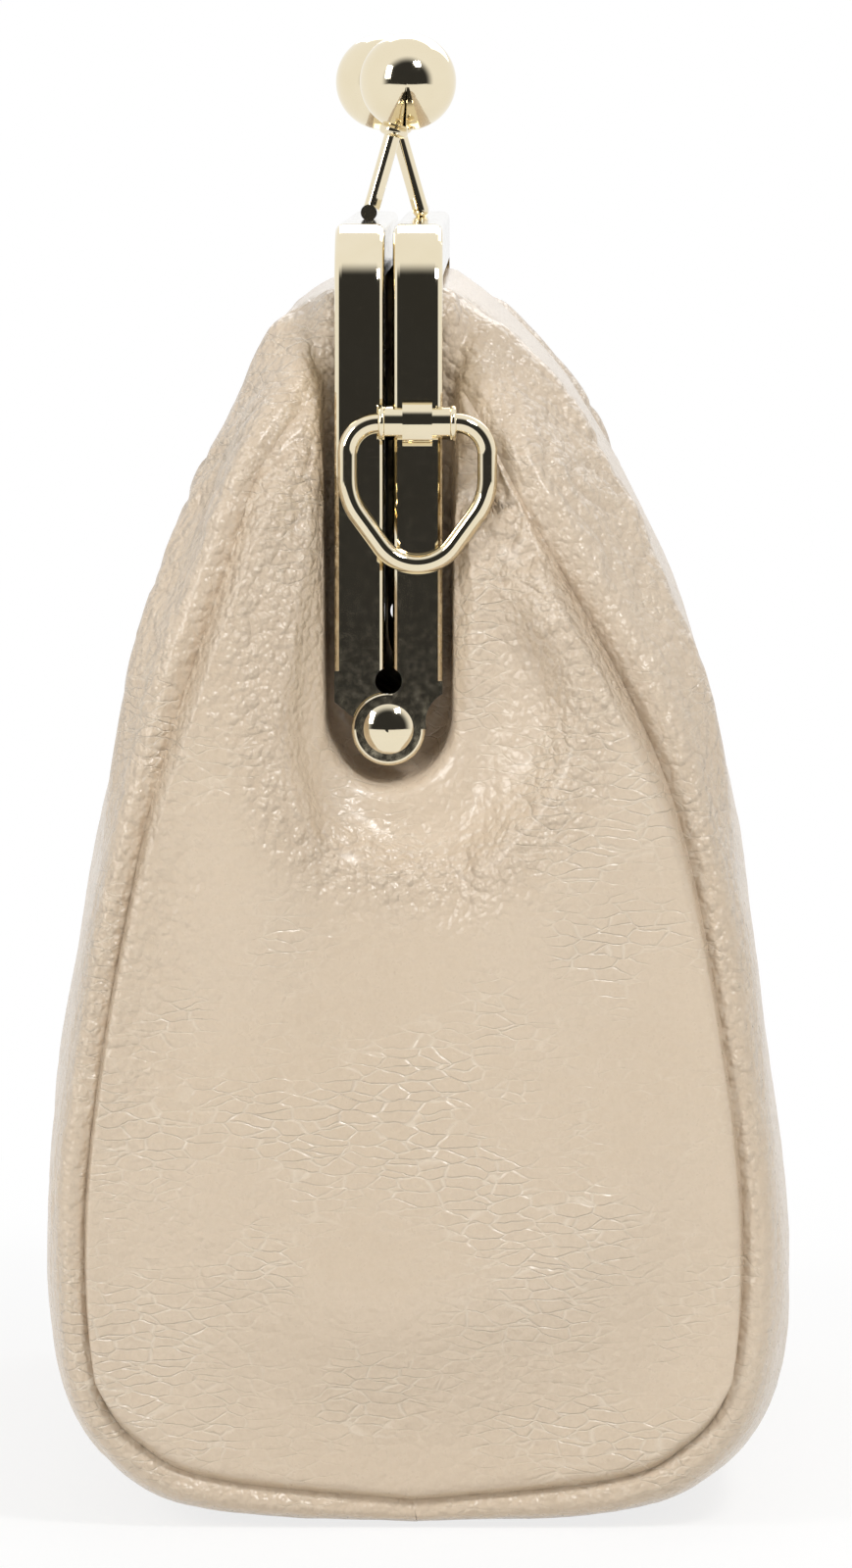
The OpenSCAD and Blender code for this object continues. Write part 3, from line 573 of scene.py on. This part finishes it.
def puff(s, width, height):
    """Profile of leather that swells beside a seam."""
    return height * (s / width) * np.exp(1 - s / width)


# Each panel, front (-1) and back (1). The pleat from each corner of the frame starts at PLEAT_X and moves
# out by PLEAT_OUT while it falls by PLEAT_FALL. The middle hangs slack, most at the height SLACK_Z
PLEAT_X = {-1: 84, 1: 86}
PLEAT_OUT = {-1: 15, 1: 13}
PLEAT_FALL = {-1: 62, 1: 60}
PLEAT_TOP = 166
PLEAT_HEIGHT, PLEAT_WIDTH = 3.2, 4.2
VALLEY_DEPTH, VALLEY_WIDTH, VALLEY_IN = 2.0, 4.5, 9  # the hollow beside the pleat, and how far in it lies
DIP_Z, DIP_LENGTH, DIP_SHARE = 149, 8, 0.75  # where the front pleat is pressed flat
SLACK = {-1: 1.5, 1: 3.2}
SLACK_Z = {-1: 78, 1: 68}
SLACK_LENGTH = 38
PANEL_SEED = {-1: 3, 1: 7}
DRAWN_IN = 0.9  # how far the swell draws the whole face in


def panel_surface(side, detail=1):
    """A panel's face with its pleats and swell, and with its small wrinkles where detail is 1."""
    points = panel_points(PANEL_U, PANEL_K, side)
    normals = row_normals(points, BAG_CENTRE)
    half = len(PANEL_U) // 2
    run = run_from_end(points[:, ::-1])[:, :half + 1]
    run = np.concatenate([run[:, :-1], run[:, ::-1]], axis=1)
    k = PANEL_K[:, None]
    low = smooth((k - 3) / 1.5)
    x, y, z = np.abs(points[..., 0]), points[..., 1], points[..., 2]
    rise = low * puff(run, 3.4, 1.1 + 0.9 * smooth((z - 70) / 50))
    # the pleat that runs down from each corner of the frame
    line = PLEAT_X[side] + PLEAT_OUT[side] * smooth((PLEAT_TOP - z) / PLEAT_FALL[side])
    pleat = smooth((z - 84) / 34) * smooth((k - 2.2) / 0.9) * smooth(run / 4)
    if side < 0:
        pleat = pleat * (1 - DIP_SHARE * np.exp(-(((z - DIP_Z) / DIP_LENGTH) ** 2)))
    rise = rise + pleat * PLEAT_HEIGHT * np.exp(-(((x - line) / PLEAT_WIDTH) ** 2))
    rise = rise - pleat * VALLEY_DEPTH * np.exp(-(((x - line + VALLEY_IN) / VALLEY_WIDTH) ** 2))
    slack = SLACK[side] * np.exp(-(((z - SLACK_Z[side]) / SLACK_LENGTH) ** 2)) * smooth(run / 30)
    rise = rise - slack
    # large swells over the whole face, then wrinkles, which are strongest at the shoulders
    seed = PANEL_SEED[side]
    high = smooth((z - 105) / 45) * smooth((x - 55) / 35)
    rise = rise + 0.9 * low * smooth(run / 2.5) * lumps(points, 26, seed) * smooth(z / 30)
    rise = rise + detail * low * smooth(run / 2.5) * (
        (0.16 + 0.6 * high) * lumps(points, 8, seed + 1, (1, 1, 0.6))
        + (0.1 + 0.6 * high) * wrinkles(points, 6.5, seed + 2, (1.2, 1, 0.8))
        + 0.06 * lumps(points, 2.6, seed + 3)
    )
    rise = rise - DRAWN_IN * smooth((k - 3) / 2) * smooth(run / 6) * smooth(z / 25)
    points = points + normals * rise[..., None]
    groove = smooth((k - 2.6) / 0.8) * groove_depth(run, points)
    points = points - groove[..., None] * panel_mitre(side, points)
    points[..., 2] = np.maximum(points[..., 2], 0)
    return points


CALM_PASSES = 14


def gusset_surface(a, detail=1):
    """The right gusset's face at the shares a, with its folds, and with its wrinkles where detail is 1."""
    points = gusset_points(a, ROWS)
    normals = row_normals(points, BEHIND_GUSSET)
    y, z = points[..., 1], points[..., 2]
    share = np.abs(a)[None]
    k = ROWS[:, None]
    front = (a < 0)[None, :, None]
    seam = np.where(front, gusset_points(np.array([-1.0]), ROWS), gusset_points(np.array([1.0]), ROWS))
    run = np.linalg.norm(points - seam, axis=2)
    foot = np.linalg.norm(points - points[-1:], axis=2)
    edge = np.minimum(run, foot)
    out = smooth((k - 2) / 1.3)
    rise = out * puff(edge, 3.6, 0.8)
    free = out * smooth(edge / 4)
    rise = rise + free * (
        CROWN_HEIGHT * crown(y, z)
        + fold(REAR_LIP, y, z, LIP_WIDTH, LIP_HEIGHT)
        - fold(REAR_CREASE, y, z, CREASE_WIDTH, CREASE_DEPTH)
    )
    # wrinkles: near the hinge they fan out from it, and high up the gathered leather is full of them
    reach = np.hypot(y, z - HINGE_Z)
    around = np.arctan2(z - HINGE_Z, y)
    fan = np.stack([reach * 0.35, around * 9, 0 * reach], -1)
    near = np.exp(-(((reach - 11) / 6) ** 2))
    top = smooth((z - 118) / 22)
    rise = rise + free * (
        0.35 * near * lumps(fan, 1.4, 2)
        + (0.08 + 0.7 * top + 0.1 * near) * lumps(points, 7, 11, (1, 1, 1.2))
        + (0.06 + 0.7 * top + 0.15 * near) * wrinkles(points, 6, 12, (1, 1, 1.3))
        + 0.04 * lumps(points, 2.6, 14)
    ) * detail + free * 0.5 * lumps(points, 24, 13)
    points = points + normals * rise[..., None]
    # even out the folds where the leather turns round the ear
    calm = smooth((k - 2.2) / 0.4) * smooth((5 - k) / 1.2)
    calm = calm * smooth((share - 0.03) / 0.1) * smooth((0.75 - share) / 0.2)
    for _ in range(CALM_PASSES):
        inner = (points[:-2, 1:-1] + points[2:, 1:-1] + points[1:-1, :-2] + points[1:-1, 2:]) / 4
        points[1:-1, 1:-1] = mix(points[1:-1, 1:-1], inner, calm[1:-1, 1:-1, None])
    rows = len(ROWS)
    mitre = np.where(front, MITRE[-1][:rows, None], MITRE[1][:rows, None])
    base_row = CORNER_ROW + (1 - np.abs(a)) * (LAST_ROW - CORNER_ROW)
    foot_mitre = {side: np.stack([np.interp(base_row, PANEL_K, MITRE[side][:, i]) for i in range(3)], -1)
                  for side in (-1, 1)}
    foot_mitre = np.where(front, foot_mitre[-1][None], foot_mitre[1][None])
    at_foot = (run > foot)[..., None]
    groove = smooth((k - 2.6) / 0.8) * groove_depth(edge, points)
    return points - groove[..., None] * np.where(at_foot, foot_mitre, mitre)


def swing_weight(points):
    """How far a point of the bag follows its frame half: none below the hinge, all at the frame."""
    return smooth((points[..., 2] - BEND_LOW) / (BEND_HIGH - BEND_LOW))


def follow(piece):
    """Bakes a piece's placement into its mesh."""
    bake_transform(piece)


def set_grain(piece, grain):
    """How strongly the leather is pebbled, from 0 where it lies smooth to 1 where it is gathered."""
    attribute = piece.data.attributes.new("grain", "FLOAT", "POINT")
    attribute.data.foreach_set("value", np.clip(grain, 0, 1).astype(np.float32).ravel())


def panel_grain(surface):
    """A panel is pebbled most beside its seams."""
    x, z = np.abs(surface[..., 0]), surface[..., 2]
    return 0.4 + 0.3 * smooth((x - 60) / 35) * smooth((z - 20) / 60) + 0.15 * lumps(surface, 30, 5)


def gusset_grain(surface):
    """A gusset is pebbled most on its crown, beside the front seam and high up."""
    y, z = surface[..., 1], surface[..., 2]
    ridge = np.exp(-((distance_to(CROWN_FOLD, y, z)[0] / 5) ** 2))
    front = smooth((-y - 18 - 0.1 * (110 - z)) / 14) * smooth((z - 30) / 50)
    top = smooth((z - 100) / 30)
    return 0.12 + 0.85 * ridge + 0.5 * front + 0.45 * top + 0.12 * lumps(surface, 22, 6)


def finish_piece(piece, material, node, weights):
    """Gives a sheet its material, hides the CAD piece it stands for and bakes its placement; weights is not
    used.
    """
    piece.data.materials.append(material)
    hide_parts(node)
    follow(piece)


def panel_weight(side):
    return swing_weight(panel_points(PANEL_U, PANEL_K, side))


def gusset_weight(a):
    """A gusset also follows the leg that it is tucked into, but not on its middle line."""
    points = gusset_points(a, ROWS)
    off_middle = np.abs(points[..., 1])
    leg = smooth(1 - (off_middle - OUTER_Y) / 14) * smooth((points[..., 2] - HINGE_Z + 2) / 9)
    return np.maximum(swing_weight(points) * smooth(np.abs(a) / 0.25)[None], leg * smooth(off_middle / 3))


# Each half of a gusset runs on a little under the other half, so that the two shade as one sheet
UNDERLAP = np.array([0.022, 0.012])
UNDERLAP_DEPTH = np.array([0.03, 0.012])
HALF_A = np.concatenate([-UNDERLAP, GUSSET_A])

SIDES = ((-1, "front", "front_half"), (1, "back", "rear_half"))
ENDS = ((1, "right"), (-1, "left"))

for side, side_name, half in SIDES:
    surface = panel_surface(side)
    piece = grid_piece(side_name + "_leather", surface, LEATHER, flip=side < 0)
    set_grain(piece, panel_grain(surface))
    finish_piece(piece, leather, side_name + "_panel", panel_weight(side))

for side, side_name, half in SIDES:
    a = HALF_A * side
    surface = gusset_surface(a)
    normals = row_normals(surface, BEHIND_GUSSET)
    surface[:, :2] -= normals[:, :2] * UNDERLAP_DEPTH[None, :, None]
    # the middle line and the underlap stay still, so the two halves don't part
    weights = gusset_weight(a)
    weights[:, :3] = 0
    for end, end_name in ENDS:
        name = end_name + "_gusset_" + side_name + "_leather"
        piece = grid_piece(name, surface * [end, 1, 1], LEATHER, flip=side * end > 0)
        set_grain(piece, gusset_grain(surface))
        finish_piece(piece, leather, end_name + "_gusset", weights)


def behind(surface, normals, mitre, run, gap):
    """A surface that lies a gap behind another, drawn along the seam's mitre beside the seam."""
    near_seam = smooth(1 - run / 5)[..., None]
    direction = mix(normals, mitre * 1.25, near_seam)
    return surface - direction * gap


LINING_AT_FRAME = 0.35
LINING_UP = 1.6  # over the base's leather, where the base board lies between


def lining_gap(k):
    """How far the lining lies behind the leather's face: close at the frame, and loose lower down."""
    return LEATHER + mix(LINING_AT_FRAME, LINING_ROOM, smooth((k - 4) / 4))[:, None, None]


# The lining's grids have half as many points each way, as it has no small wrinkles
for side, side_name, half in SIDES:
    surface = panel_surface(side, 0)
    run = run_from_end(surface[:, ::-1])
    run = np.minimum(run, run_from_end(surface))
    mitre = panel_mitre(side, surface)
    cloth = behind(surface, row_normals(surface, BAG_CENTRE), mitre, run, lining_gap(PANEL_K))
    cloth[..., 2] = np.maximum(cloth[..., 2], LEATHER + LINING_UP)
    piece = grid_piece(side_name + "_cloth", cloth[::2, ::2], LINING, flip=side < 0)
    finish_piece(piece, twill, side_name + "_lining", panel_weight(side)[::2, ::2])

for side, side_name, half in SIDES:
    a = HALF_A[1::2] * side
    surface = gusset_surface(a, 0)
    run = np.linalg.norm(surface - surface[:, -1:], axis=2)
    normals = row_normals(surface, BEHIND_GUSSET)
    cloth = behind(surface, normals, MITRE[side][:len(ROWS), None], run, lining_gap(ROWS))
    weights = gusset_weight(a)
    weights[:, :2] = 0
    for end, end_name in ENDS:
        name = end_name + "_gusset_" + side_name + "_cloth"
        piece = grid_piece(name, (cloth * [end, 1, 1])[::2], LINING, flip=side * end > 0)
        finish_piece(piece, twill, end_name + "_gusset_lining", weights[::2])


# Studio

PHOTO_HEIGHT = 1600
SENSOR = 36
CAMERA_AT = Vector((1.5, 0.0150, 0.1915))
CAMERA_LOOKS_AT = Vector((0.105, 0.0051, 0.1009))
FOCAL_PIXELS = 10597
LAMPS_AIM_AT = Vector((0, 0, 0.09))
FLOOR_HALF_SIZE = 1.6
FLOOR_DOWN = 0.0002  # below the base, so that the two don't flicker


def camera():
    """The photo's camera: a long lens, straight at the right end and a little from above."""
    data = bpy.data.cameras.new("camera")
    data.sensor_fit = "VERTICAL"
    data.sensor_height = SENSOR
    data.lens = FOCAL_PIXELS / PHOTO_HEIGHT * SENSOR
    data.clip_end = 20
    thing = bpy.data.objects.new("camera", data)
    bpy.context.scene.collection.objects.link(thing)
    thing.location = CAMERA_AT
    thing.rotation_euler = (CAMERA_LOOKS_AT - CAMERA_AT).to_track_quat("-Z", "Y").to_euler()
    bpy.context.scene.camera = thing


def softbox(name, place, size, power):
    """A soft lamp at a place, with a width and height, all in metres, and a power in watts."""
    data = bpy.data.lights.new(name, "AREA")
    data.shape = "RECTANGLE"
    data.size, data.size_y = size
    data.energy = power
    lamp = bpy.data.objects.new(name, data)
    bpy.context.scene.collection.objects.link(lamp)
    lamp.location = place
    lamp.rotation_euler = (LAMPS_AIM_AT - Vector(place)).to_track_quat("-Z", "Y").to_euler()


def white_room():
    """World that lights gently and looks white, but reflections see a dark room on the camera's side."""
    world = bpy.data.worlds.new("white_room")
    world.use_nodes = True
    bpy.context.scene.world = world
    tree = world.node_tree
    rays = add(tree, "LightPath")
    direction = add(tree, "SeparateXYZ", Vector=add(tree, "TexCoord").outputs["Generated"])
    mirrored = add(tree, "MapRange", {"From Min": 0.4, "From Max": 0.72, "To Min": 1.0, "To Max": 0.035,
                                      "interpolation_type": "SMOOTHSTEP"}, Value=direction.outputs["X"])
    glossy = add(tree, "Mix", {"data_type": "FLOAT", "A": 0.36}, Factor=rays.outputs["Is Glossy Ray"])
    tree.links.new(mirrored.outputs[0], glossy.inputs[3])
    level = add(tree, "Math", {"operation": "MAXIMUM"}, _0=rays.outputs["Is Camera Ray"],
                _1=glossy.outputs[0])
    tree.links.new(level.outputs[0], tree.nodes["Background"].inputs["Strength"])
    tree.nodes["Background"].inputs["Color"].default_value = srgb("#FFFFFF")


def floor():
    """White paper: near the purse it holds its shadow, and further out it is plain white."""
    bm = bmesh.new()
    bmesh.ops.create_grid(bm, x_segments=1, y_segments=1, size=FLOOR_HALF_SIZE)
    bmesh.ops.translate(bm, verts=bm.verts, vec=(0, 0, -FLOOR_DOWN))
    mesh = bpy.data.meshes.new("floor")
    bm.to_mesh(mesh)
    bm.free()
    plane = bpy.data.objects.new("floor", mesh)
    bpy.context.scene.collection.objects.link(plane)
    material, tree, surface = new_material("white_paper")
    surface.inputs["Base Color"].default_value = srgb("#F4F4F2")
    surface.inputs["Roughness"].default_value = 0.9
    rays = add(tree, "LightPath")
    seen = add(tree, "Math", {"operation": "MAXIMUM"}, _0=rays.outputs["Is Camera Ray"],
               _1=rays.outputs["Is Glossy Ray"])
    away = add(tree, "VectorMath", {"operation": "LENGTH"}, _0=add(tree, "TexCoord").outputs["Object"])
    far = add(tree, "MapRange", {"From Min": 0.1, "From Max": 0.4, "To Min": 0.8, "To Max": 1.0,
                                 "interpolation_type": "SMOOTHSTEP"}, Value=away.outputs["Value"])
    share = add(tree, "Math", {"operation": "MULTIPLY"}, _0=seen.outputs[0], _1=far.outputs[0])
    white = add(tree, "Emission", {"Color": srgb("#FFFFFF"), "Strength": 1.0})
    blend = add(tree, "MixShader", Fac=share.outputs[0], _1=surface.outputs[0], _2=white.outputs[0])
    tree.links.new(blend.outputs[0], tree.nodes["Material Output"].inputs["Surface"])
    mesh.materials.append(material)


camera()
white_room()
floor()
softbox("left_softbox", (0.75, -0.85, 0.62), (0.28, 0.6), 5.6)
softbox("right_softbox", (0.8, 0.45, 1.0), (0.26, 0.26), 7.8)
softbox("back_softbox", (-0.9, 0.2, 0.9), (1.2, 0.8), 6.5)

bpy.context.scene.view_settings.view_transform = "Standard"
